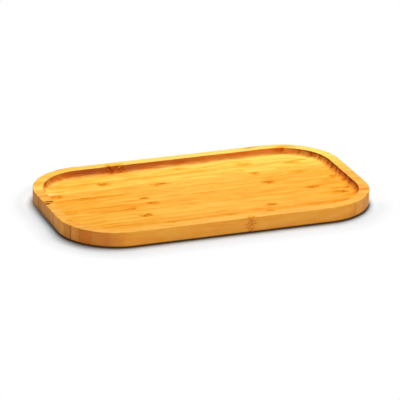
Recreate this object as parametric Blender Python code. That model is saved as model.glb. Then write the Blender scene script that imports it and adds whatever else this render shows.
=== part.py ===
"""Bamboo display plate of side-pressed staves.

Strips of bamboo stand on edge, run the whole length of the plate and are glued side by side.
The panel they make is cut to a rounded rectangle, hollowed by one shallow recess whose floor
turns up into the wall in a cove, and eased along its top and foot edges. X is the length, Y the
width, from the front to the back, and Z is up. The origin is the middle of the underside.
"""

import math

import bmesh
import bpy

# Outline of the plate
PLATE_LENGTH = 0.245
PLATE_WIDTH = 0.140
PLATE_HEIGHT = 0.012
CORNER_RADIUS = 0.045
TOP_EDGE_RADIUS = 0.0005
FOOT_EDGE_RADIUS = 0.002

# Recess in the top, with a rim of even width around it
RIM_WIDTH = 0.008
RECESS_DEPTH = 0.006
COVE_RADIUS = 0.005

# Staves, counted from the front. The outline trims the first and the last, and the rest are alike
STAVE_COUNT = 21
FRONT_STAVE_WIDTH = 0.00525
BACK_STAVE_WIDTH = 0.00365
GLUE_LINE = 0.0003

# How far the stock and the cutters run past the faces that they cut
OVERRUN = 0.004

# Flats that make up a quarter turn of each rounded shape
CORNER_FLATS = 24
COVE_FLATS = 6
FOOT_EDGE_FLATS = 3
TOP_EDGE_FLATS = 2

# Colours of the oiled bamboo, and the colour of each stave, from the front
TONES = {
    "pale": (0.96, 0.48, 0.052, 1.0),
    "golden": (0.94, 0.40, 0.036, 1.0),
    "amber": (0.92, 0.35, 0.026, 1.0),
}
STAVE_TONES = (
    "golden", "golden", "amber", "golden", "amber", "golden", "golden",
    "golden", "golden", "amber", "golden", "golden", "golden", "golden",
    "golden", "pale", "pale", "pale", "pale", "pale", "pale",
)
OILED_ROUGHNESS = 0.42

SMOOTH_UP_TO = math.radians(30)


def clear_scene():
    for old in list(bpy.data.objects):
        bpy.data.objects.remove(old)


def new_collection(name):
    collection = bpy.data.collections.new(name)
    bpy.context.scene.collection.children.link(collection)
    return collection


def round_edges(block, edges, radius, flats):
    bmesh.ops.bevel(
        block,
        geom=edges,
        offset=radius,
        offset_type="OFFSET",
        segments=flats,
        profile=0.5,
        affect="EDGES",
        material=-1,
    )


def plain_block(length, width, height):
    block = bmesh.new()
    bmesh.ops.create_cube(block, size=1)
    bmesh.ops.scale(block, vec=(length, width, height), verts=block.verts)
    return block


def rounded_block(length, width, height, corner_radius):
    """A block whose four upright edges are rounded."""
    block = plain_block(length, width, height)
    uprights = [
        edge for edge in block.edges if edge.verts[0].co.xy == edge.verts[1].co.xy
    ]
    round_edges(block, uprights, corner_radius, CORNER_FLATS)
    return block


def outline_edges(block, upwards):
    """The edges around the top face of a block, or around its underside."""
    face = max(block.faces, key=lambda face: face.normal.z * upwards)
    return list(face.edges)


def finished_object(block, name, collection, middle_of_block):
    mesh = bpy.data.meshes.new(name)
    block.to_mesh(mesh)
    block.free()
    obj = bpy.data.objects.new(name, mesh)
    obj.location = middle_of_block
    collection.objects.link(obj)
    return obj


def hide_cutter(cutter):
    """Keeps a cutter out of the model. Its rounded faces stay smooth on what it cuts."""
    cutter.data.shade_smooth()
    cutter.data.set_sharp_from_angle(angle=SMOOTH_UP_TO)
    cutter.display_type = "WIRE"
    cutter.hide_render = True


def make_outline_cutter(collection):
    """The outer form of the plate, which every stave is cut to."""
    block = rounded_block(PLATE_LENGTH, PLATE_WIDTH, PLATE_HEIGHT, CORNER_RADIUS)
    block.normal_update()
    round_edges(block, outline_edges(block, 1), TOP_EDGE_RADIUS, TOP_EDGE_FLATS)
    block.normal_update()
    round_edges(block, outline_edges(block, -1), FOOT_EDGE_RADIUS, FOOT_EDGE_FLATS)
    cutter = finished_object(
        block, "outline_cutter", collection, (0, 0, PLATE_HEIGHT / 2)
    )
    hide_cutter(cutter)
    return cutter


def make_recess_cutter(collection):
    """The form of the router's path: an upright wall that turns into the floor in a cove."""
    height = RECESS_DEPTH + OVERRUN
    block = rounded_block(
        PLATE_LENGTH - 2 * RIM_WIDTH,
        PLATE_WIDTH - 2 * RIM_WIDTH,
        height,
        CORNER_RADIUS - RIM_WIDTH,
    )
    block.normal_update()
    round_edges(block, outline_edges(block, -1), COVE_RADIUS, COVE_FLATS)
    middle = PLATE_HEIGHT - RECESS_DEPTH + height / 2
    cutter = finished_object(block, "recess_cutter", collection, (0, 0, middle))
    hide_cutter(cutter)
    return cutter


def stave_sides():
    """The front and back side of each stave's stock, across the plate."""
    front = -PLATE_WIDTH / 2
    inner_width = PLATE_WIDTH - FRONT_STAVE_WIDTH - BACK_STAVE_WIDTH
    pitch = inner_width / (STAVE_COUNT - 2)
    glue_lines = [
        front + FRONT_STAVE_WIDTH + pitch * number for number in range(STAVE_COUNT - 1)
    ]
    fronts = [front - OVERRUN] + [line + GLUE_LINE / 2 for line in glue_lines]
    backs = [line - GLUE_LINE / 2 for line in glue_lines] + [-front + OVERRUN]
    return list(zip(fronts, backs))


def oiled_bamboo(name, tone):
    material = bpy.data.materials.new(name)
    material.use_nodes = True
    shader = material.node_tree.nodes["Principled BSDF"]
    shader.inputs["Base Color"].default_value = TONES[tone]
    shader.inputs["Roughness"].default_value = OILED_ROUGHNESS
    shader.inputs["Metallic"].default_value = 0
    material.diffuse_color = TONES[tone]
    return material


def add_cut(stave, name, operation, cutter):
    cut = stave.modifiers.new(name, "BOOLEAN")
    cut.operation = operation
    cut.solver = "EXACT"
    cut.object = cutter


def make_stave(number, sides, tone, collection, plate, outline, recess):
    """One strip of bamboo: straight stock, cut to the outline and routed with the recess."""
    front, back = sides
    block = plain_block(
        PLATE_LENGTH + 2 * OVERRUN, back - front, PLATE_HEIGHT + 2 * OVERRUN
    )
    name = f"stave_{number:02d}"
    middle = (0, (front + back) / 2, PLATE_HEIGHT / 2)
    stave = finished_object(block, name, collection, middle)
    stave.parent = plate
    stave.data.materials.append(oiled_bamboo(f"{name}_bamboo", tone))
    add_cut(stave, "cut to outline", "INTERSECT", outline)
    add_cut(stave, "rout recess", "DIFFERENCE", recess)


def make_plate():
    clear_scene()
    parts = new_collection("display_plate")
    cutters = new_collection("cutters")
    plate = bpy.data.objects.new("display_plate", None)
    parts.objects.link(plate)
    outline = make_outline_cutter(cutters)
    recess = make_recess_cutter(cutters)
    for number, (sides, tone) in enumerate(zip(stave_sides(), STAVE_TONES), start=1):
        make_stave(number, sides, tone, parts, plate, outline, recess)


make_plate()
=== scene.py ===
"""Looks of the bamboo display plate: oiled side-pressed staves on white paper."""

import math
from collections import namedtuple
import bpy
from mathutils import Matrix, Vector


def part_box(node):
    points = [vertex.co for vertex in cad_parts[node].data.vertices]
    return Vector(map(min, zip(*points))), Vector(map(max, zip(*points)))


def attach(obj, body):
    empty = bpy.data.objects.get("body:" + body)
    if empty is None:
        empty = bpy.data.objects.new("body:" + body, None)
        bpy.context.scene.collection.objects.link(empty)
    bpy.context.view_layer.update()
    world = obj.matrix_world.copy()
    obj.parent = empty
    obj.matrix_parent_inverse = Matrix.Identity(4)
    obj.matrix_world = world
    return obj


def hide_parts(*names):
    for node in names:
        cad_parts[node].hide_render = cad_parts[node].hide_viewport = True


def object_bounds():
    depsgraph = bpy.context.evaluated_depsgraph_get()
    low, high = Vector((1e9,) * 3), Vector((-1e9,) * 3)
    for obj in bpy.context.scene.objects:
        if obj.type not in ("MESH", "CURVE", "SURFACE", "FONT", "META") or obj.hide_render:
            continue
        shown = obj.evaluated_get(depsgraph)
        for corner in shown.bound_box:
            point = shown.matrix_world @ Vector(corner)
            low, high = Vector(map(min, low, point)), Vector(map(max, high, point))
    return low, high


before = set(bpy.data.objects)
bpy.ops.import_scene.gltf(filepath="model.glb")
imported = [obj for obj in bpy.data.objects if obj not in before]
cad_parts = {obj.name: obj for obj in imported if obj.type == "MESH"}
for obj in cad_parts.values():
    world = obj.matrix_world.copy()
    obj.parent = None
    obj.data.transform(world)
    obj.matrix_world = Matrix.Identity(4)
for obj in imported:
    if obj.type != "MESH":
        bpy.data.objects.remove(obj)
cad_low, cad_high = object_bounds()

from types import SimpleNamespace

import bmesh
import bpy
from mathutils import Matrix, Vector


# The glued panel. Twenty-one staves of bamboo stand on edge, glued face to face and cut together
# to a rounded rectangle. A router then sinks the recess, with a round-nosed cutter that leaves a
# cove at the foot of the wall, and the edges are eased by sanding.
CORNER_RADIUS = 0.045
RIM_WIDTH = 0.008
RECESS_DEPTH = 0.006
COVE_RADIUS = 0.0050
TOP_EDGE_RADIUS = 0.0005
RIM_EDGE_RADIUS = 0.0003
FOOT_EDGE_RADIUS = 0.0020
CORNER_FLATS = 72
COVE_FLATS = 14
EDGE_FLATS = 5
SAME_HEIGHT = 1e-6


def round_edges(form, edges, radius, flats):
    bmesh.ops.bevel(
        form, geom=edges, offset=radius, offset_type="OFFSET", segments=flats,
        profile=0.5, affect="EDGES", material=-1,
    )


def face_at(form, height):
    """The one wide face that lies flat at this height."""
    flat = [
        face for face in form.faces
        if abs(face.calc_center_median().z - height) < SAME_HEIGHT
    ]
    return max(flat, key=lambda face: face.calc_area())


def is_inside_rim(point):
    """Whether a point of the top lies nearer to the recess than to the plate's outline."""
    reach = Vector((cad_high.x - CORNER_RADIUS, cad_high.y - CORNER_RADIUS))
    beyond = Vector((max(abs(point.x) - reach.x, 0), max(abs(point.y) - reach.y, 0)))
    return beyond.length < CORNER_RADIUS - RIM_WIDTH / 2


def routed_panel():
    """The whole plate as one closed form, before it is parted into its staves."""
    form = bmesh.new()
    bmesh.ops.create_cube(form, size=1)
    bmesh.ops.scale(form, vec=cad_high - cad_low, verts=form.verts)
    bmesh.ops.translate(form, vec=(cad_low + cad_high) / 2, verts=form.verts)
    uprights = [
        edge for edge in form.edges if edge.verts[0].co.xy == edge.verts[1].co.xy
    ]
    round_edges(form, uprights, CORNER_RADIUS, CORNER_FLATS)

    top = face_at(form, cad_high.z)
    bmesh.ops.inset_region(form, faces=[top], thickness=RIM_WIDTH, use_even_offset=True)
    top = face_at(form, cad_high.z)
    sunk = bmesh.ops.extrude_face_region(form, geom=[top])["geom"]
    bmesh.ops.delete(form, geom=[top], context="FACES")
    floor_verts = [item for item in sunk if isinstance(item, bmesh.types.BMVert)]
    bmesh.ops.translate(form, vec=(0, 0, -RECESS_DEPTH), verts=floor_verts)

    floor = face_at(form, cad_high.z - RECESS_DEPTH)
    round_edges(form, list(floor.edges), COVE_RADIUS, COVE_FLATS)
    crests = [  # where the flat top of the rim meets an upright face
        edge for edge in form.edges
        if all(abs(vert.co.z - cad_high.z) < SAME_HEIGHT for vert in edge.verts)
        and {round(face.normal.z) for face in edge.link_faces} == {0, 1}
    ]
    inner = [edge for edge in crests if all(is_inside_rim(vert.co) for vert in edge.verts)]
    outer = [edge for edge in crests if edge not in inner]
    round_edges(form, inner, RIM_EDGE_RADIUS, EDGE_FLATS)
    round_edges(form, [edge for edge in outer if edge.is_valid], TOP_EDGE_RADIUS, EDGE_FLATS)
    foot = face_at(form, cad_low.z)
    round_edges(form, list(foot.edges), FOOT_EDGE_RADIUS, EDGE_FLATS)
    bmesh.ops.recalc_face_normals(form, faces=form.faces)
    return form


# The lie of a stave, a strip of bamboo as long as the plate. Its finish follows from the place and
# from the way that a face looks. A pair of values is the band in which something sets in, in
# metres from the middle of the underside or in cosines of a facing, or the range of a strength.
NOISE_STEPS = (3.7, 1.9, 5.3)  # from the noise of one stave to that of the next
RECESS_EDGE = -RIM_WIDTH + 0.0001
CUT_ACROSS = (0.20, 0.95)  # facing along the fibres
UPRIGHT = (0.3, 0.8)  # facing up
LEVEL = (0.7, 0.95)  # facing up
RIM_TOP = (cad_high.z - 0.0006, cad_high.z - 0.0001)
TO_FRONT = (-0.30, -0.05)  # facing back
COVE_SLOPE = (0.66, 0.86)  # facing up
COVE_FOOT = (0.965, 1.0)  # facing up
COVE_TOP = (0.0090, 0.0105)
FAR_LEFT = (-0.100, -0.070)
BRIGHTEST_X = 0.015
OFF_BRIGHTEST = (0.02, 0.10)
BACK_RIM = (0.030, 0.064)
BACK_RIM_ALONG = (-0.08, 0.0)
BACK_RIM_SHARE = (-0.40, 1.0)


def wired(tree, kind, feeds=(), **settings):
    """A node with its settings, whose inputs are fed from sockets or set to values."""
    node = tree.nodes.new(kind)
    for name, value in settings.items():
        setattr(node, name, value)
    for socket, feed in dict(feeds).items():
        if isinstance(feed, bpy.types.NodeSocket):
            tree.links.new(feed, node.inputs[socket])
        else:
            node.inputs[socket].default_value = feed
    return node


def worked(tree, operation, *feeds, clamp=False):
    """The outcome of one sum on sockets or values."""
    feeds = dict(enumerate(feeds))
    return wired(tree, "ShaderNodeMath", feeds, operation=operation, use_clamp=clamp).outputs[0]


def product(tree, whole, *factors):
    for factor in factors:
        whole = worked(tree, "MULTIPLY", whole, factor)
    return whole


def added_up(tree, total, *shares):
    """The total with each value of the shares added to it, times its weight."""
    for value, weight in shares:
        total = worked(tree, "MULTIPLY_ADD", value, weight, total)
    return total


def ranged(tree, share, at_none, at_all):
    """A value that runs from one end of a range to the other as the share goes from 0 to 1."""
    return worked(tree, "MULTIPLY_ADD", share, at_all - at_none, at_none)


def eased(tree, value, start, end):
    """0 below start and 1 above end, with a soft turn between them."""
    feeds = {"Value": value, "From Min": start, "From Max": end}
    return wired(tree, "ShaderNodeMapRange", feeds, interpolation_type="SMOOTHSTEP").outputs[0]


def faded(tree, value, start, end):
    """1 below start and 0 above end, with a soft turn between them."""
    feeds = {"Value": value, "From Min": start, "From Max": end, "To Min": 1, "To Max": 0}
    return wired(tree, "ShaderNodeMapRange", feeds, interpolation_type="SMOOTHSTEP").outputs[0]


def beyond_outline(tree, x, y):
    """How far a point lies outside the plate's outline, as seen from above. Less than 0 inside."""
    reach = (cad_high.x - CORNER_RADIUS, cad_high.y - CORNER_RADIUS)
    past = [
        worked(tree, "MAXIMUM", worked(tree, "SUBTRACT", worked(tree, "ABSOLUTE", side), far), 0)
        for side, far in zip((x, y), reach)
    ]
    square = added_up(tree, product(tree, past[0], past[0]), (past[1], past[1]))
    return worked(tree, "SUBTRACT", worked(tree, "SQRT", square), CORNER_RADIUS)


def rising_cove(tree, at):
    """The slope of the cove from the floor up to the back wall."""
    return product(
        tree, eased(tree, at.up, *COVE_SLOPE), faded(tree, at.up, *COVE_FOOT),
        at.in_recess, at.to_front, faded(tree, at.z, *COVE_TOP),
    )


def lie_of_stave(tree, middle, half_width, skin_side, seed):
    """Where a point lies, and how far it belongs to each part of the plate, from 0 to 1.

    Its right, back and up say how far its face looks each way, and its shift sets the noise of
    this stave apart from that of the others.
    """
    source = wired(tree, "ShaderNodeTexCoord").outputs
    at = SimpleNamespace(place=source["Object"])
    at.shift = tuple(seed * step for step in NOISE_STEPS)
    at.x, at.y, at.z = wired(tree, "ShaderNodeSeparateXYZ", {0: at.place}).outputs
    looks = wired(tree, "ShaderNodeSeparateXYZ", {0: source["Normal"]}).outputs
    at.right, at.back, at.up = looks
    at.across = worked(tree, "DIVIDE", worked(tree, "SUBTRACT", at.y, middle), half_width)
    at.towards_skin = product(tree, at.across, skin_side)
    at.endways = worked(tree, "ABSOLUTE", at.right)
    at.cut_end = eased(tree, at.endways, *CUT_ACROSS)
    at.beyond = beyond_outline(tree, at.x, at.y)
    at.in_recess = worked(tree, "LESS_THAN", at.beyond, RECESS_EDGE)
    upright = faded(tree, at.up, *UPRIGHT)
    at.side = worked(tree, "SUBTRACT", upright, at.in_recess, clamp=True)
    at.wall = product(tree, upright, at.in_recess)
    at.on_rim = product(tree, eased(tree, at.z, *RIM_TOP), eased(tree, at.up, *LEVEL))
    at.to_front = faded(tree, at.back, *TO_FRONT)
    at.far_left = faded(tree, at.x, *FAR_LEFT)
    at.rising = rising_cove(tree, at)
    # The lit middle, where the lamp is brightest: painted lighter, and with glossier oil.
    off_brightest = worked(tree, "ABSOLUTE", worked(tree, "SUBTRACT", at.x, BRIGHTEST_X))
    at.inward = faded(tree, off_brightest, *OFF_BRIGHTEST)
    along = ranged(tree, eased(tree, at.x, *BACK_RIM_ALONG), *BACK_RIM_SHARE)
    at.far_back = product(tree, along, eased(tree, at.y, *BACK_RIM))
    return at


# The fibres. Bamboo has no rings: its fibre bundles run along the strip as fine lines that sway a
# little and bend aside at a knuckle, and they are darkest towards the side that was the culm's
# skin. A strip has one of three tones, which varies along it in broad bands, patches and streaks.
TONES = {  # the deep, the main and the light colour of each tone
    "pale": ((0.90, 0.370, 0.024), (0.96, 0.480, 0.052), (0.98, 0.630, 0.108)),
    "golden": ((0.87, 0.295, 0.015), (0.94, 0.400, 0.036), (0.97, 0.500, 0.070)),
    "amber": ((0.82, 0.255, 0.011), (0.92, 0.350, 0.026), (0.95, 0.440, 0.051)),
}
TONE_STOPS = (0.22, 0.52, 0.82)
SWAY = (16, 60, (0, 0.0018, 0))  # lumps a metre along and across the fibres, and the reach
KNUCKLE_BEND = 0.0008
BUNDLES = (14, 1500)
BUNDLE_EDGE = (0.12, 0.42)
GRAINS = {  # lumps a metre along and across the fibres, detail and roughness
    "broad": (6, 160, 2.0, 0.50),
    "patches": (40, 215, 2.0, 0.50),
    "streaks": (85, 460, 3.0, 0.65),
    "fibres": (60, 2600, 2.0, 0.60),
    "skin_gaps": (14, 30, 2.0, 0.50),
}
PLAIN_SHADE = -0.77
LIGHTENS = {  # how far each pattern lightens the strip, or below 0 darkens it
    "broad": 0.60, "patches": 0.95, "streaks": 1.00, "fibres": 0.30, "bundle": -0.12,
}
PAINTED_MIDDLE_LIGHT = 0.07
LAMP_CORNER_X = (0.05, 0.09)
LAMP_CORNER_Y = (0.0, 0.03)
LAMP_CORNER_LIGHT = 0.08
SKIN_HALF = (-0.4, 1.1)
SKIN_SHADE = -0.08
SKIN_LINE = (0.45, 0.98)
SKIN_LINE_GAPS = (0.42, 0.62)
SKIN_LINE_SHADE = -0.26
DARK_FIBRE_SHADE = -0.9
SIDE_SHADE = 0.46
SIDE_CALM = 0.5
MILLIMETRE = 0.001
SPOT_DEPTH = 0.020
SPOT_FADE = (0.0, 1.6)
SPOT_RAKE = -0.45


def drawn_out(tree, place, shift, along, across):
    """Coordinates in which a pattern has this many lumps a metre along and across the fibres."""
    feeds = {"Vector": place, "Location": shift, "Scale": (along, across, across)}
    return wired(tree, "ShaderNodeMapping", feeds).outputs[0]


def grain(tree, place, shift, along, across, detail=2.0, rough=0.5, output="Fac"):
    """Noise with this many lumps a metre along and across the fibres."""
    feeds = {
        "Vector": drawn_out(tree, place, shift, along, across),
        "Scale": 1.0, "Detail": detail, "Roughness": rough,
    }
    return wired(tree, "ShaderNodeTexNoise", feeds).outputs[output]


def off_middle(tree, noise):
    """A noise of 0 to 1, made to run as far below 0 as above it."""
    return worked(tree, "SUBTRACT", noise, 0.5)


def wandering(tree, place, shift, along, across, reach):
    """The place, shifted about at random by up to this reach each way."""
    drift = grain(tree, place, shift, along, across, output="Color")
    drift = wired(
        tree, "ShaderNodeVectorMath", {0: drift, 1: (0.5, 0.5, 0.5)}, operation="SUBTRACT"
    ).outputs[0]
    feeds = {0: drift, 1: tuple(2 * side for side in reach), 2: place}
    return wired(tree, "ShaderNodeVectorMath", feeds, operation="MULTIPLY_ADD").outputs[0]


def spots(tree, place, rows):
    """How strongly a point lies in any of the spots, which fade out from their middles.

    A spot goes down into the plate, and the further back it lies, the more it leans.
    """
    strongest = 0.0
    for x, y, length, breadth, strength in rows:
        middle = (x * MILLIMETRE, y * MILLIMETRE, cad_high.z / 2)
        to_back = (middle[1] - cad_low.y) / (cad_high.y - cad_low.y)
        feeds = {
            "Vector": place, "Location": middle, "Rotation": (0, SPOT_RAKE * to_back, 0),
            "Scale": (length / 2 * MILLIMETRE, breadth / 2 * MILLIMETRE, SPOT_DEPTH),
        }
        spot = wired(tree, "ShaderNodeMapping", feeds, vector_type="TEXTURE").outputs[0]
        away = wired(tree, "ShaderNodeVectorMath", {0: spot}, operation="LENGTH").outputs["Value"]
        strong = product(tree, faded(tree, away, *SPOT_FADE), strength)
        strongest = worked(tree, "MAXIMUM", strongest, strong)
    return strongest


def fibre_patterns(tree, at, knuckle):
    """The bundles and the grains of a strip, all along fibres that sway."""
    swaying = wandering(tree, at.place, at.shift, *SWAY)
    aside = product(tree, knuckle, KNUCKLE_BEND)
    bend = wired(tree, "ShaderNodeCombineXYZ", {"Y": aside}).outputs[0]
    bent = wired(tree, "ShaderNodeVectorMath", {0: swaying, 1: bend}, operation="ADD").outputs[0]
    feeds = {"Vector": drawn_out(tree, bent, at.shift, *BUNDLES), "Scale": 1.0}
    spacing = wired(tree, "ShaderNodeTexVoronoi", feeds).outputs["Distance"]
    grains = {name: grain(tree, bent, at.shift, *row) for name, row in GRAINS.items()}
    return SimpleNamespace(
        swaying=swaying, bundle=faded(tree, spacing, *BUNDLE_EDGE), **grains
    )


def mixed(tree, share, first, second):
    """The first value, moved towards the second one by this share."""
    return wired(tree, "ShaderNodeMix", {0: share, 2: first, 3: second}).outputs[0]


def strip_shade(tree, at, wood, paleness, dark_fibres):
    """How light the strip is, where 0 is its deep colour and 1 its light one."""
    lamp_corner = product(
        tree, eased(tree, at.x, *LAMP_CORNER_X), eased(tree, at.y, *LAMP_CORNER_Y)
    )
    skin_line = product(
        tree, eased(tree, at.towards_skin, *SKIN_LINE),
        eased(tree, wood.skin_gaps, *SKIN_LINE_GAPS),
    )
    shade = added_up(
        tree, PLAIN_SHADE + paleness,
        *[(getattr(wood, pattern), share) for pattern, share in LIGHTENS.items()],
        # Painted light: the lit middle and the back right corner by the lamp are painted lighter.
        (at.inward, PAINTED_MIDDLE_LIGHT),
        (lamp_corner, LAMP_CORNER_LIGHT),
        (eased(tree, at.towards_skin, *SKIN_HALF), SKIN_SHADE),
        (skin_line, SKIN_LINE_SHADE),
        (spots(tree, wood.swaying, dark_fibres), product(tree, wood.streaks, DARK_FIBRE_SHADE)),
    )
    calm = added_up(tree, shade, (worked(tree, "SUBTRACT", SIDE_SHADE, shade), SIDE_CALM))
    return mixed(tree, at.side, shade, calm)


def toned(tree, shade, tone):
    """The colour that a tone has at this shade."""
    ramp = wired(tree, "ShaderNodeValToRGB", {0: shade})
    stops = ramp.color_ramp.elements
    stops[0].position, stops[1].position = TONE_STOPS[0], TONE_STOPS[2]
    stops.new(TONE_STOPS[1])
    for stop, colour in zip(stops, TONES[tone]):
        stop.color = (*colour, 1)
    return ramp.outputs[0]


# The knuckles, joints of the culm. Each is a warm stain drawn out along the fibres, with brown
# flecks and pale specks in it, and small dots instead on the plate's outer side. On the left rim
# two have split into dark scars. A pale patch by the foot of the left cove is a painted highlight.
KNUCKLE_STAIN = (0.94, 0.76, 0.46, 1)
KNUCKLE_BROWN = (0.70, 0.48, 0.24, 1)
KNUCKLE_SCAR = (0.30, 0.15, 0.03, 1)
PALE_SPECK = (0.98, 0.58, 0.14, 1)
COVE_HIGHLIGHT = (0.98, 0.66, 0.20, 1)
RAGGED = (170, 420, (0.0050, 0.0022, 0.0022))  # lumps a metre, and the reach, as for SWAY
FRAYED = (500, 900, (0.0010, 0.0005, 0.0))
FLECKS = (380, 560, 3.0, 0.6)  # lumps a metre, detail and roughness, as for GRAINS
SIDE_DOTS = (900, 900, 2.0, 0.5)
STAIN_BAND = (0.0, 0.50)
SIDE_STAIN = (1.0, 0.25)
BROWN_BAND = (0.35, 1.05)
BROWN_WITHIN = (0.0, 0.2)
FLECK_CONTRAST = 2.4
SPECK_BAND = (0.36, 0.42)
SPECK_WITHIN = (0.3, 0.8)
SPECK_SHARE = 0.5
SCAR_BAND = (0.30, 0.75)


def knuckle_marks(tree, at, figure):
    """How far a point lies in a knuckle, in each wood mark, and in the painted highlight, from 0 to
    1.
    """
    ragged = wandering(tree, at.place, at.shift, *RAGGED)
    frayed = wandering(tree, at.place, at.shift, *FRAYED)
    lengthways = worked(tree, "SUBTRACT", 1, at.cut_end)
    knuckle = product(tree, spots(tree, ragged, figure["knuckles"]), lengthways)
    flecks = mixed(
        tree, at.side,
        grain(tree, at.place, at.shift, *FLECKS), grain(tree, at.place, at.shift, *SIDE_DOTS),
    )
    flecked = added_up(tree, knuckle, (off_middle(tree, flecks), FLECK_CONTRAST))
    return SimpleNamespace(
        knuckle=knuckle,
        stain=product(
            tree, eased(tree, knuckle, *STAIN_BAND), ranged(tree, at.side, *SIDE_STAIN)
        ),
        brown=product(
            tree, eased(tree, flecked, *BROWN_BAND), eased(tree, knuckle, *BROWN_WITHIN)
        ),
        speck=product(
            tree, faded(tree, flecks, *SPECK_BAND), eased(tree, knuckle, *SPECK_WITHIN),
            SPECK_SHARE,
        ),
        scar=product(
            tree, eased(tree, spots(tree, frayed, figure["scars"]), *SCAR_BAND), lengthways
        ),
        cove_highlight=spots(tree, ragged, figure["cove_highlights"]),
    )


def blended(tree, share, first, second, blend="MIX"):
    feeds = {0: share, 6: first, 7: second}
    node = wired(tree, "ShaderNodeMix", feeds, data_type="RGBA", blend_type=blend)
    return node.outputs[2]


def tinted(tree, share, colour, tint):
    return blended(tree, share, colour, tint, "MULTIPLY")


def marked(tree, marks, colour):
    """The colour with the marks of the knuckles, and the painted highlight, on it."""
    colour = tinted(tree, marks.stain, colour, KNUCKLE_STAIN)
    colour = tinted(tree, marks.brown, colour, KNUCKLE_BROWN)
    colour = blended(tree, marks.speck, colour, PALE_SPECK)
    colour = tinted(tree, marks.scar, colour, KNUCKLE_SCAR)
    # Painted highlight by the foot of the left cove.
    return blended(tree, marks.cove_highlight, colour, COVE_HIGHLIGHT)


# The cut ends. Across the fibres each bundle shows as a dot, and the dots lie closest towards the
# skin, where two skins that meet leave a brown line. How pale an end is depends on its strip. The
# slanting cuts around the left corners are painted darker as shade, and all of the outer side is a
# bit redder.
DARK_END = (0.64, 0.255, 0.036, 1)
PALE_END = (1.00, 0.480, 0.090, 1)
END_DOTS = (0.82, 0.74, 0.70, 1)
SKIN_EDGE = (0.42, 0.30, 0.24, 1)
SLANT_CUT_SHADE = (0.78, 0.64, 0.77, 1)
SIDE_TINT = (1.0, 0.90, 0.80, 1)
SQUARE_CUT = (0.70, 0.98)
SQUARE_SHARE = 0.80
SQUARE_IN_RECESS = -0.7
SLANT_FROM = (0.08, 0.45)
SLANT_TO = (0.75, 1.0)
SLANT_ALONG = (-0.09, 0.0)
END_DEPTH = 0.10
BUNDLE_DEPTH = 0.55
SKIN_DEPTH = 0.50
SKIN_SIDE = (0.3, 1.0)
SKIN_EDGE_BAND = (0.78, 1.0)
SKINS_MEET_SHARE = 0.85
LONE_SKIN_SHARE = 0.10


def cut_across(tree, at, wood, colour, end_paleness, skins_meet):
    """The colour, turned to that of a cut end as far as a face lies across the fibres."""
    square = product(tree, eased(tree, at.endways, *SQUARE_CUT), SQUARE_SHARE)
    square = worked(tree, "MULTIPLY_ADD", at.in_recess, SQUARE_IN_RECESS, square, clamp=True)
    colour = blended(tree, square, colour, blended(tree, end_paleness, DARK_END, PALE_END))
    # Painted shade on the slanting cuts around the left corners.
    slant = product(
        tree, eased(tree, at.endways, *SLANT_FROM), faded(tree, at.endways, *SLANT_TO),
        at.side, faded(tree, at.x, *SLANT_ALONG),
    )
    colour = tinted(tree, slant, colour, SLANT_CUT_SHADE)
    near_skin = eased(tree, at.towards_skin, *SKIN_SIDE)
    depth = added_up(tree, END_DEPTH, (wood.bundle, BUNDLE_DEPTH), (near_skin, SKIN_DEPTH))
    dots = worked(tree, "MULTIPLY", depth, at.cut_end, clamp=True)
    colour = tinted(tree, dots, colour, END_DOTS)
    skin_edge = product(
        tree, eased(tree, at.towards_skin, *SKIN_EDGE_BAND), at.cut_end,
        SKINS_MEET_SHARE if skins_meet else LONE_SKIN_SHARE,
    )
    colour = tinted(tree, skin_edge, colour, SKIN_EDGE)
    return tinted(tree, at.side, colour, SIDE_TINT)


# The routed wall. The cutter leaves the floor dull. From a ragged line in the cove upwards, the
# steep wall carries painted shade, darker and warmer, more towards the left but less at the far
# left end. Across the fibres the cutter scorches the skin side of a stave into teeth.
WARM_WALL = (0.92, 0.51, 0.46, 1)
WALL_SHADE = (0.52, 0.41, 0.58, 1)
SKIN_SCORCH = (0.78, 0.60, 0.68, 1)
RAGGED_LINE = (60, 620, 3.0, 0.6)
RAGGED_HEIGHT = 0.005
DIP_FROM = (-0.092, -0.080)
DIP_TO = (-0.045, -0.015)
DIP_HEIGHT = 0.0006
TURN_HEIGHT = -0.0009
WARM_HEIGHT = (0.0064, 0.0084)
WARM_ON_ENDS = (1.0, 0.6)
WALL_SHADE_HEIGHT = (0.0068, 0.0100)
WALL_SHADE_ALONG = (-0.09, 0.09)
WALL_SHADE_SHARE = (0.20, 1.00)
WALL_SHADE_ON_ENDS = 0.62
WALL_SHADE_FAR_LEFT = (1.0, 0.4)
SCORCH_HEIGHT = (0.0066, 0.0092)
TEETH = (20, 900)
TEETH_CONTRAST = 4.0
TEETH_BAND = (1.6, 2.8)


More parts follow.
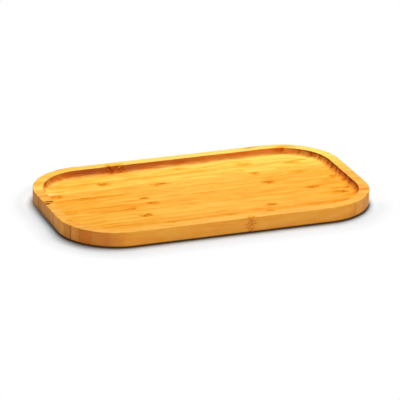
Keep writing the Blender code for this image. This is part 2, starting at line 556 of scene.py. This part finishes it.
def shaded_and_scorched_wall(tree, at, colour):
    """The colour, with painted shade on the recess wall and scorch teeth on its end walls."""
    ragged = off_middle(tree, grain(tree, at.place, at.shift, *RAGGED_LINE))
    dip = product(tree, eased(tree, at.x, *DIP_FROM), faded(tree, at.x, *DIP_TO), at.to_front)
    turn = product(tree, at.to_front, at.cut_end)
    height = added_up(
        tree, at.z, (ragged, RAGGED_HEIGHT), (dip, DIP_HEIGHT), (turn, TURN_HEIGHT)
    )
    # Painted shade: the recess wall darker and warmer from a ragged line in the cove upwards.
    warm = product(
        tree, at.in_recess, eased(tree, height, *WARM_HEIGHT),
        ranged(tree, at.cut_end, *WARM_ON_ENDS),
    )
    colour = tinted(tree, warm, colour, WARM_WALL)
    # Painted shade, more towards the left but less at the far left end.
    shade_along = ranged(tree, faded(tree, at.x, *WALL_SHADE_ALONG), *WALL_SHADE_SHARE)
    shade_along = worked(tree, "MAXIMUM", shade_along, product(tree, at.cut_end, WALL_SHADE_ON_ENDS))
    wall_shade = product(
        tree, at.in_recess, eased(tree, height, *WALL_SHADE_HEIGHT), shade_along,
        ranged(tree, at.far_left, *WALL_SHADE_FAR_LEFT),
    )
    colour = tinted(tree, wall_shade, colour, WALL_SHADE)
    teeth = grain(tree, at.place, at.shift, *TEETH)
    teeth = added_up(tree, at.towards_skin, (teeth, TEETH_CONTRAST))
    scorch = product(
        tree, at.in_recess, at.cut_end, eased(tree, height, *SCORCH_HEIGHT),
        eased(tree, teeth, *TEETH_BAND),
    )
    return tinted(tree, scorch, colour, SKIN_SCORCH)


# The sanded rim. It is smoother and a little paler than the rest, and the lamp's sheen on its oil
# is painted on it as a pale wash, most of all along the back and at the right, and as yellow light
# on the cove behind the floor. The rim's inner half is yellower at the front left, and on the end
# walls a dark line of painted shade lies right under the rim.
LIT_COVE = (0.98, 0.760, 0.120, 1)
INNER_RIM = (1.00, 0.89, 0.62, 1)
UNDER_RIM = (0.56, 0.40, 0.48, 1)
RIM_WASH = 0.12
BACK_RIM_WASH = 0.27
RIGHT_RIM = (0.090, 0.118)
RIGHT_RIM_WASH = 0.08
COVE_WASH = 0.4
COVE_WASH_ALONG = (-0.06, 0.09)
LEFT_COVE_WASH = 0.3
LIT_COVE_ALONG = (0.02, 0.09)
LIT_COVE_SHARE = 0.7
LIT_RIM_X = (0.095, 0.112)
LIT_RIM_Y = (0.002, 0.026)
LIT_RIM_SHARE = 0.45
INNER_HALF = (-0.0075, -0.0035)
INNER_X = (-0.090, -0.050)
INNER_Y = (0.010, 0.030)
UNDER_RIM_FROM = (0.0102, 0.0112)
UNDER_RIM_TO = (0.0117, 0.0119)
UNDER_RIM_FAR_LEFT = (1.0, 0.2)


def painted_lamp_wash(tree, at, shade):
    """The shade, lighter on the paler rim and where the lamp's sheen is painted on."""
    rim_wash = added_up(
        tree, RIM_WASH, (at.far_back, BACK_RIM_WASH),
        (eased(tree, at.x, *RIGHT_RIM), RIGHT_RIM_WASH),
    )
    shade = added_up(tree, shade, (at.on_rim, rim_wash))
    along_cove = added_up(
        tree, eased(tree, at.x, *COVE_WASH_ALONG), (at.far_left, LEFT_COVE_WASH)
    )
    lit_cove = product(tree, at.rising, along_cove)
    return worked(tree, "MULTIPLY_ADD", lit_cove, COVE_WASH, shade, clamp=True)


def lit_edges(tree, at, colour):
    """Painted yellow lamp light on the rim and the cove, and painted shade under the rim."""
    lit_cove = product(tree, at.rising, eased(tree, at.x, *LIT_COVE_ALONG), LIT_COVE_SHARE)
    lit_rim = product(
        tree, at.on_rim, eased(tree, at.x, *LIT_RIM_X), eased(tree, at.y, *LIT_RIM_Y),
        LIT_RIM_SHARE,
    )
    colour = blended(tree, worked(tree, "MAXIMUM", lit_cove, lit_rim), colour, LIT_COVE)
    inner_rim = product(
        tree, at.on_rim, faded(tree, at.beyond, *INNER_HALF),
        faded(tree, at.x, *INNER_X), faded(tree, at.y, *INNER_Y),
    )
    colour = tinted(tree, inner_rim, colour, INNER_RIM)
    # Painted shade: a dark line right under the rim on the end walls.
    under_rim = product(
        tree, eased(tree, at.z, *UNDER_RIM_FROM), faded(tree, at.z, *UNDER_RIM_TO),
        at.in_recess, at.cut_end, ranged(tree, at.far_left, *UNDER_RIM_FAR_LEFT),
    )
    return tinted(tree, under_rim, colour, UNDER_RIM)


# The outer side and the foot. The rounded edge at the foot faces down at the table and is painted
# nearly black, as shade. The back part of the left end is darker and greyer towards its foot, as
# painted shade and reflection, and the right end is cooler, as a painted reflection of the white
# room.
PAINTED_FOOT_SHADE = (0.26, 0.22, 0.22, 1)
LOW_END = (0.43, 0.54, 1.20, 1)
FAR_END = (1.00, 1.22, 1.60, 1)
FOOT_SLOPE = (-0.75, -0.10)
FOOT_HEIGHT = (0.0014, 0.0022)
FOOT_EDGE = (-0.0030, -0.0015)
LOW_END_FACING = (-0.99, -0.90)
LOW_END_HEIGHT = (0.001, 0.0056)
LOW_END_Y = (-0.040, -0.012)
FAR_END_FACING = (0.72, 0.95)


def painted_foot_and_ends(tree, at, colour):
    """The colour, with painted shade at the foot and painted shade and reflection on the ends."""
    # Painted shade: the rounded foot edge, facing down at the table, nearly black.
    foot = product(
        tree, faded(tree, at.up, *FOOT_SLOPE), faded(tree, at.z, *FOOT_HEIGHT),
        eased(tree, at.beyond, *FOOT_EDGE),
    )
    colour = tinted(tree, foot, colour, PAINTED_FOOT_SHADE)
    # Painted shade and reflection: the back of the left end darker and greyer towards its foot.
    low_end = product(
        tree, at.side, faded(tree, at.right, *LOW_END_FACING),
        faded(tree, at.z, *LOW_END_HEIGHT), eased(tree, at.y, *LOW_END_Y),
    )
    colour = tinted(tree, low_end, colour, LOW_END)
    # Painted reflection of the white room: the right end cooler.
    far_end = product(tree, at.side, eased(tree, at.right, *FAR_END_FACING))
    return tinted(tree, far_end, colour, FAR_END)


# The oil. A thin coat of clear oil soaks into the sanded wood and leaves a faint sheen, stronger on
# the rim, the cove and the outer side and lost on the knuckles. The fibres stay a little proud. The
# glue line between two staves is a fine brown edge on each.
GLUE_BROWN = (0.55, 0.170, 0.008, 1)
GLUE_EDGE = (0.965, 0.995)
GLUE_SHARE = 0.40
FLOOR_GLOSS = (0.012, 0.042)
RIM_GLOSS = (0.028, 0.088)
COVE_GLOSS = (0.06, 0.13)
SIDE_GLOSS = (0.26, 0.71)
SIDE_GLOSS_FACING = (0.2, 0.85)
WALL_GLOSS = 0.10
PLAIN_ROUGH = 0.50
STREAK_ROUGH = 0.16
END_ROUGH = 0.10
RIM_ROUGH = -0.20
COVE_ROUGH = -0.15
BUNDLE_SINK = -0.6
FIBRE_RELIEF = 0.35
FIBRE_HEIGHT = 0.00005


def glued(tree, at, colour):
    """The colour, brown along the two glue lines of the stave."""
    glue = eased(tree, worked(tree, "ABSOLUTE", at.across), *GLUE_EDGE)
    return blended(tree, product(tree, glue, GLUE_SHARE), colour, GLUE_BROWN)


def oil_gloss(tree, at, marks):
    side_gloss = ranged(tree, eased(tree, at.right, *SIDE_GLOSS_FACING), *SIDE_GLOSS)
    gloss = added_up(
        tree, ranged(tree, at.inward, *FLOOR_GLOSS),
        (at.on_rim, ranged(tree, at.far_back, *RIM_GLOSS)),
        (at.rising, ranged(tree, at.far_left, *COVE_GLOSS)),
        (at.side, side_gloss),
    )
    unmarked = worked(tree, "SUBTRACT", 1, worked(tree, "MAXIMUM", marks.stain, marks.scar))
    return added_up(tree, product(tree, gloss, unmarked), (at.wall, WALL_GLOSS))


def oil_roughness(tree, at, wood):
    return added_up(
        tree, PLAIN_ROUGH, (wood.streaks, STREAK_ROUGH), (at.cut_end, END_ROUGH),
        (at.on_rim, RIM_ROUGH), (at.rising, COVE_ROUGH),
    )


def proud_fibres(tree, wood):
    feeds = {
        "Height": added_up(tree, wood.fibres, (wood.bundle, BUNDLE_SINK)),
        "Strength": FIBRE_RELIEF, "Distance": FIBRE_HEIGHT,
    }
    return wired(tree, "ShaderNodeBump", feeds).outputs[0]


def oiled_bamboo(name, strip, skins_meet, middle, half_width, seed, figure):
    """Bamboo for one stave, from its row in STAVES and the rows of its figure."""
    material = bpy.data.materials.new(name)
    material.use_nodes = True
    tree = material.node_tree
    at = lie_of_stave(tree, middle, half_width, strip.skin_side, seed)
    marks = knuckle_marks(tree, at, figure)
    wood = fibre_patterns(tree, at, marks.knuckle)

    shade = strip_shade(tree, at, wood, strip.paleness, figure["dark_fibres"])
    colour = toned(tree, painted_lamp_wash(tree, at, shade), strip.tone)
    colour = cut_across(tree, at, wood, colour, strip.end_paleness, skins_meet)
    colour = shaded_and_scorched_wall(tree, at, colour)
    colour = lit_edges(tree, at, colour)
    colour = painted_foot_and_ends(tree, at, colour)
    colour = marked(tree, marks, colour)
    colour = glued(tree, at, colour)

    shader = tree.nodes["Principled BSDF"]
    tree.links.new(colour, shader.inputs["Base Color"])
    tree.links.new(oil_roughness(tree, at, wood), shader.inputs["Roughness"])
    tree.links.new(oil_gloss(tree, at, marks), shader.inputs["Specular IOR Level"])
    tree.links.new(proud_fibres(tree, wood), shader.inputs["Normal"])
    material.diffuse_color = (*TONES[strip.tone][1], 1)
    return material


# The staves. Twenty-one strips of bamboo, from the front to the back, with a film of glue between
# them. Each has its tone, the side that was the culm's skin (1 the back, -1 the front), and how
# much paler it is than its tone. Its cut ends are dark where the last number is 0, and pale at 1.
GLUE_FILM = 0.00004
CUT_TOLERANCE = 1e-7
SMOOTH_UP_TO = math.radians(20)
Strip = namedtuple("Strip", "tone skin_side paleness end_paleness")
STAVES = (
    Strip("golden", 1, 0.00, 0.50),
    Strip("golden", 1, 0.00, 0.50),
    Strip("amber", 1, 0.05, 0.40),
    Strip("golden", 1, -0.08, 1.00),
    Strip("amber", -1, -0.01, 0.25),
    Strip("golden", -1, 0.09, 0.90),
    Strip("golden", -1, 0.04, 0.75),
    Strip("golden", 1, 0.04, 0.85),
    Strip("golden", -1, 0.01, 0.70),
    Strip("amber", -1, 0.03, 0.40),
    Strip("golden", 1, 0.05, 0.45),
    Strip("golden", 1, 0.01, 0.50),
    Strip("golden", 1, 0.00, 0.05),
    Strip("golden", -1, -0.01, 0.30),
    Strip("golden", -1, 0.08, 0.40),
    Strip("pale", 1, 0.03, 0.40),
    Strip("pale", 1, -0.03, 0.60),
    Strip("pale", -1, -0.02, 0.70),
    Strip("pale", -1, 0.01, 0.50),
    Strip("pale", -1, 0.00, 0.60),
    Strip("pale", -1, 0.00, 0.60),
)

# The figure of the wood over the whole plate, in millimetres from its middle and in rows from the
# front to the back: the x, y, length, breadth and strength of each mark.
FIGURE = {
    "knuckles": (
        (13.4, -70.0, 8, 6, 0.82), (-87.6, -70.0, 8, 6, 0.35), (37.5, -47.3, 9, 7, 0.6),
        (-40.0, -44.5, 11, 8, 0.5), (7.8, -45.6, 11, 3, 0.45), (43.0, -36.2, 9, 8, 1.0),
        (-115.4, -34.3, 6, 6, 0.7), (-54.0, -26.5, 10, 10, 1.0), (105.0, -26.4, 8, 6, 0.95),
        (102.8, -24.5, 18, 12, 0.5), (111.5, -20.3, 7, 3, 1.1), (102.0, -18.5, 12, 7, 0.4),
        (86.6, -10.4, 12, 6, 0.9), (-59.3, -11.8, 10, 6, 0.65), (-40.0, -4.8, 10, 7, 0.75),
        (100.5, -2.0, 14, 9, 0.38), (-119.1, 2.4, 6, 4, 0.7), (-43.2, 5.0, 6, 5, 1.0),
        (110.6, 5.8, 7, 4, 1.2), (-117.7, 6.0, 8, 3.4, 0.7), (57.5, 9.4, 10, 9, 1.0),
        (-85.4, 18.9, 7, 4, 0.6), (88.9, 23.0, 16, 8, 0.4), (-104.6, 28.5, 11, 8, 0.8),
        (-21.5, 31.0, 17, 7, 1.0), (54.9, 30.0, 8, 9, 0.75), (-62.7, 42.4, 10, 8, 0.85),
        (90.6, 43.3, 12, 6, 0.75), (52.3, 50.3, 13, 7, 0.45), (4.3, 55.5, 11, 8, 0.55),
        (91.0, 60.5, 12, 10, 0.6), (-49.5, 62.5, 6, 9, 1.0), (-42.0, 62.5, 9, 9, 0.8),
        (68.5, 69.0, 11, 6, 0.8),
    ),
    "dark_fibres": (
        # Rows at x 107 to 117 by the right wall are painted shade at its foot and the rim's edge.
        (85, -42.0, 60, 4, 0.5), (30, -42.0, 45, 4, 0.4), (-82, -42.0, 26, 3, 0.8),
        (115.5, -41.5, 12, 6, 1.2), (-78, -36.0, 30, 3, 0.6), (117, -33.6, 12, 6, 1.4),
        (107, -33.5, 22, 6, 0.9), (-52, -33.0, 20, 4, 0.6), (5, -27.3, 110, 2.5, 0.4),
        (28, -20.3, 80, 2.5, 0.4), (120, -19.5, 16, 5, 0.8), (-74, -12.4, 30, 3, 1.1),
        (40, -10.4, 95, 3, 0.5), (99, -6.0, 14, 4, 0.6), (-76, -3.2, 60, 3.0, 1.2),
        (10, -1.6, 90, 3, 0.5), (109, 1.5, 9, 4, 0.8), (-28, 12.8, 45, 3, 0.4),
        (-78, 17.0, 75, 5, 0.9), (120, 18.5, 14, 4, 0.8), (-75, 18.9, 60, 4, 0.7),
        (-55, 28.7, 60, 3.5, 0.5), (-26, 34.2, 16, 4, 0.7), (118, 36.0, 14, 4, 0.7),
        (-101, 37.0, 12, 5, 0.5), (98, 63.0, 20, 6, 1.5),
    ),
    "scars": (
        (-119.3, 2.4, 5.5, 3.2, 1.4), (-115.4, 4.4, 3, 2.6, 0.9), (-117.3, 6.5, 10.5, 2.4, 1.2),
    ),
    # Painted highlight: a pale patch where the lamp catches the foot of the left cove.
    "cove_highlights": ((-106.9, 34.3, 9, 4.6, 1.3),),
}


def stave_name(number):
    return f"stave_{number:02d}"


def glue_lines():
    """Where the staves meet, from the front outline to the back one."""
    boxes = [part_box(stave_name(number)) for number in range(1, len(STAVES) + 1)]
    between = [
        (front[1].y + back[0].y) / 2 for front, back in zip(boxes[:-1], boxes[1:])
    ]
    return [cad_low.y, *between, cad_high.y]


def part_off(form, place, keep_front):
    """Cuts the form across at a glue line, keeps one side and closes the cut."""
    cut = bmesh.ops.bisect_plane(
        form, geom=[*form.verts, *form.edges, *form.faces], dist=CUT_TOLERANCE,
        plane_co=(0, place, 0), plane_no=(0, 1, 0),
        clear_outer=keep_front, clear_inner=not keep_front,
    )["geom_cut"]
    rims = [item for item in cut if isinstance(item, bmesh.types.BMEdge)]
    bmesh.ops.edgenet_fill(form, edges=rims)


def cut_stave(panel, name, front, back):
    """The part of the panel between two glue lines, as a piece of its own."""
    form = panel.copy()
    if front > cad_low.y:
        part_off(form, front + GLUE_FILM / 2, keep_front=False)
    if back < cad_high.y:
        part_off(form, back - GLUE_FILM / 2, keep_front=True)
    bmesh.ops.recalc_face_normals(form, faces=form.faces)
    mesh = bpy.data.meshes.new(name)
    form.to_mesh(mesh)
    form.free()
    mesh.shade_smooth()
    mesh.set_sharp_from_angle(angle=SMOOTH_UP_TO)
    stave = bpy.data.objects.new(name, mesh)
    bpy.context.scene.collection.objects.link(stave)
    even = stave.modifiers.new("even shading", "WEIGHTED_NORMAL")
    even.keep_sharp = True
    return stave


def figure_between(front, back):
    """The marks whose middles lie between two glue lines."""
    return {
        kind: [row for row in rows if front <= row[1] * MILLIMETRE < back]
        for kind, rows in FIGURE.items()
    }


panel = routed_panel()
lines = glue_lines()
pitch = lines[2] - lines[1]
for number, strip in enumerate(STAVES, start=1):
    front, back = lines[number - 1], lines[number]
    # The outline trims the first stave at its front and the last at its back.
    whole_front = back - pitch if number == 1 else front
    neighbour = number - 1 + strip.skin_side
    skins_meet = neighbour < len(STAVES) and STAVES[neighbour].skin_side == -strip.skin_side
    name = f"bamboo_{stave_name(number)}"
    stave = cut_stave(panel, name, front, back)
    finish = oiled_bamboo(
        name, strip, skins_meet, whole_front + pitch / 2, pitch / 2, number,
        figure_between(front, back),
    )
    stave.data.materials.append(finish)
    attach(stave, "root")
    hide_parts(stave_name(number))
panel.free()


# The table. A sheet of matt white paper that the plate stands on. It keeps the plate's shadow, and
# away from the plate the camera sees it as plain white. Close to the plate more shadow is painted
# on it, greyer, deeper by the front left corner, nearly white by the back left one, and light grey
# on the lamp's side. A faint painted glow lightens it, but not by the left end.
TABLE_RADIUS = 6.0
TABLE_CORNERS = 96
PAPER_ROUGHNESS = 0.9
PAPER_SHEEN = 0.1
# Painted shadow: the paper's colour by distance from the plate.
PAPER_PAINTED_SHADOW = (  # metres from the plate, and the colour there
    (0.0000, (0.20, 0.18, 0.17)), (0.0012, (0.56, 0.66, 0.71)), (0.0022, (0.75, 0.88, 0.95)),
    (0.0030, (0.78, 0.90, 0.95)), (0.0080, (0.78, 0.82, 0.85)), (0.0140, (0.84, 0.86, 0.88)),
    (0.0300, (0.90, 0.90, 0.90)),
)
DEEP_CORNER = (0.86, 0.85, 0.83, 1)
PALE_CORNER = (1.00, 0.98, 0.96, 1)
LIT_PAPER = (0.90, 0.90, 0.90, 1)
LEFT_CORNERS_X = (-0.118, -0.095)
CLOSE_TO_PLATE = (0.004, 0.012)
FRONT_LEFT_Y = (-0.045, -0.020)
BACK_LEFT_Y = (0.010, 0.028)
BACK_LEFT_SHARE = 0.6
LAMP_SIDE = (0.47, 0.88)
LIT_PAPER_BAND = (0.016, 0.034)
SHADOW_FALLS = (0.0, -0.004)
GLOW = 0.15
GLOW_BAND = (-0.0025, 0.001)
UNLIT_Y = (-0.045, 0.030)
PLAIN_WHITE_BAND = (0.006, 0.022)


def seen_plainly(tree):
    """1 for rays from the camera, and for those mirrored or let through, else 0."""
    path = wired(tree, "ShaderNodeLightPath").outputs
    mirrored = worked(tree, "MAXIMUM", path["Is Glossy Ray"], path["Is Transmission Ray"])
    return worked(tree, "MAXIMUM", path["Is Camera Ray"], mirrored)


# The paper's colour, with its painted shadow, by distance from the plate.
def painted_shadow_by_distance(tree, beyond):
    reach = PAPER_PAINTED_SHADOW[-1][0]
    shadow_ramp = wired(tree, "ShaderNodeValToRGB", {0: worked(tree, "DIVIDE", beyond, reach)})
    stops = shadow_ramp.color_ramp.elements
    stops.remove(stops[1])
    stops[0].color = (*PAPER_PAINTED_SHADOW[0][1], 1)
    for distance, colour in PAPER_PAINTED_SHADOW[1:]:
        stops.new(distance / reach).color = (*colour, 1)
    return shadow_ramp.outputs[0]


def white_paper():
    """Paper with the plate's shadow and painted shadow, plain white past them for the camera."""
    material = bpy.data.materials.new("white_paper")
    material.use_nodes = True
    tree = material.node_tree
    shader = tree.nodes["Principled BSDF"]
    shader.inputs["Roughness"].default_value = PAPER_ROUGHNESS
    shader.inputs["Specular IOR Level"].default_value = PAPER_SHEEN
    place = wired(tree, "ShaderNodeTexCoord").outputs["Object"]
    x, y, _ = wired(tree, "ShaderNodeSeparateXYZ", {0: place}).outputs
    beyond = beyond_outline(tree, x, y)

    by_left_end = product(
        tree, faded(tree, x, *LEFT_CORNERS_X), faded(tree, beyond, *CLOSE_TO_PLATE)
    )
    front_left = product(tree, by_left_end, faded(tree, y, *FRONT_LEFT_Y))
    back_left = product(tree, by_left_end, eased(tree, y, *BACK_LEFT_Y), BACK_LEFT_SHARE)
    towards_lamp = added_up(tree, product(tree, x, LAMP_SIDE[0]), (y, LAMP_SIDE[1]))
    paper = painted_shadow_by_distance(tree, beyond)
    # Painted shadow, deeper by the front left corner and lighter by the back left one.
    paper = tinted(tree, front_left, paper, DEEP_CORNER)
    paper = blended(tree, back_left, paper, PALE_CORNER)
    paper = blended(tree, eased(tree, towards_lamp, *LIT_PAPER_BAND), paper, LIT_PAPER)
    tree.links.new(paper, shader.inputs["Base Color"])

    shadow = [worked(tree, "SUBTRACT", side, fall) for side, fall in zip((x, y), SHADOW_FALLS)]
    past_shadow = beyond_outline(tree, *shadow)
    unlit = product(tree, by_left_end, faded(tree, y, *UNLIT_Y))
    # Painted glow: a faint emission lightens the paper for the camera, but not by the left end.
    glow = product(
        tree, eased(tree, past_shadow, *GLOW_BAND), GLOW, worked(tree, "SUBTRACT", 1, unlit)
    )
    whiteness = added_up(
        tree, glow, (eased(tree, past_shadow, *PLAIN_WHITE_BAND), 1 - GLOW)
    )
    share = product(tree, whiteness, seen_plainly(tree))
    plain = wired(tree, "ShaderNodeEmission", {"Color": (1, 1, 1, 1), "Strength": 1.0})
    seen = wired(
        tree, "ShaderNodeMixShader", {0: share, 1: shader.outputs[0], 2: plain.outputs[0]}
    )
    tree.links.new(seen.outputs[0], tree.nodes["Material Output"].inputs["Surface"])
    return material


top = bmesh.new()
bmesh.ops.create_circle(top, cap_ends=True, radius=TABLE_RADIUS, segments=TABLE_CORNERS)
mesh = bpy.data.meshes.new("table")
top.to_mesh(mesh)
top.free()
mesh.materials.append(white_paper())
table = bpy.data.objects.new("table", mesh)
bpy.context.scene.collection.objects.link(table)


# The light. A wide soft lamp hangs high behind the plate and to its right, and a weak one fills
# the front. The room around is white to look at, and sheds a low even light.
LAMPS = {  # degrees round from the front and up from the table, metres away and across, and watts
    "key": {"azimuth": 152, "elevation": 70, "distance": 0.75, "size": 0.50, "watts": 5.85},
    "fill": {"azimuth": -12, "elevation": 16, "distance": 2.0, "size": 0.6, "watts": 11.6},
}
ROOM_LIGHT = 0.12
ROOM_SEEN = 1.0


def direction(azimuth, elevation):
    """Towards a place around the plate, where azimuth 0 is in front and 90 to the right."""
    turn, rise = math.radians(azimuth), math.radians(elevation)
    return Vector((
        math.sin(turn) * math.cos(rise), -math.cos(turn) * math.cos(rise), math.sin(rise)
    ))


for name, lamp in LAMPS.items():
    light = bpy.data.lights.new(name, "AREA")
    light.shape = "DISK"
    light.size = lamp["size"]
    light.energy = lamp["watts"]
    towards = direction(lamp["azimuth"], lamp["elevation"])
    hung = bpy.data.objects.new(name, light)
    hung.location = towards * lamp["distance"]
    hung.rotation_euler = towards.to_track_quat("Z", "Y").to_euler()
    hung.visible_camera = False
    bpy.context.scene.collection.objects.link(hung)

world = bpy.data.worlds.new("white_room")
bpy.context.scene.world = world
world.use_nodes = True
room = world.node_tree
feeds = {"Value": seen_plainly(room), "To Min": ROOM_LIGHT, "To Max": ROOM_SEEN}
strength = wired(room, "ShaderNodeMapRange", feeds).outputs[0]
room.nodes["Background"].inputs["Color"].default_value = (1, 1, 1, 1)
room.links.new(strength, room.nodes["Background"].inputs["Strength"])


# The camera. It looks down on the plate from the front, a little to the left, through a long lens,
# and the plate's edges lie as they do in the photograph. Angles are in degrees, and the lens and
# the sensor in millimetres. It aims just above and to the left of the middle of the underside.
CAMERA_TURN = -21.04
CAMERA_RISE = 21.22
CAMERA_ROLL = 1.13
CAMERA_DISTANCE = 2.520
CAMERA_LENS = 301.8
CAMERA_SEES = (0.1, 30)
SENSOR_WIDTH = 36.0
AIM_HEIGHT = 0.00149
AIM_LEFT = 0.0008

camera = bpy.data.cameras.new("camera")
camera.sensor_fit = "HORIZONTAL"
camera.sensor_width = SENSOR_WIDTH
camera.lens = CAMERA_LENS
camera.clip_start, camera.clip_end = CAMERA_SEES
eye = bpy.data.objects.new("camera", camera)
bpy.context.scene.collection.objects.link(eye)
towards = direction(CAMERA_TURN, CAMERA_RISE)
turn = math.radians(CAMERA_TURN)
aim = Vector((0, 0, AIM_HEIGHT)) - Vector((math.cos(turn), math.sin(turn), 0)) * AIM_LEFT
eye.location = aim + towards * CAMERA_DISTANCE
upright = towards.to_track_quat("Z", "Y").to_matrix()
rolled = upright @ Matrix.Rotation(math.radians(CAMERA_ROLL), 3, "Z")
eye.rotation_euler = rolled.to_euler()
bpy.context.scene.camera = eye
bpy.context.scene.view_settings.view_transform = "Standard"
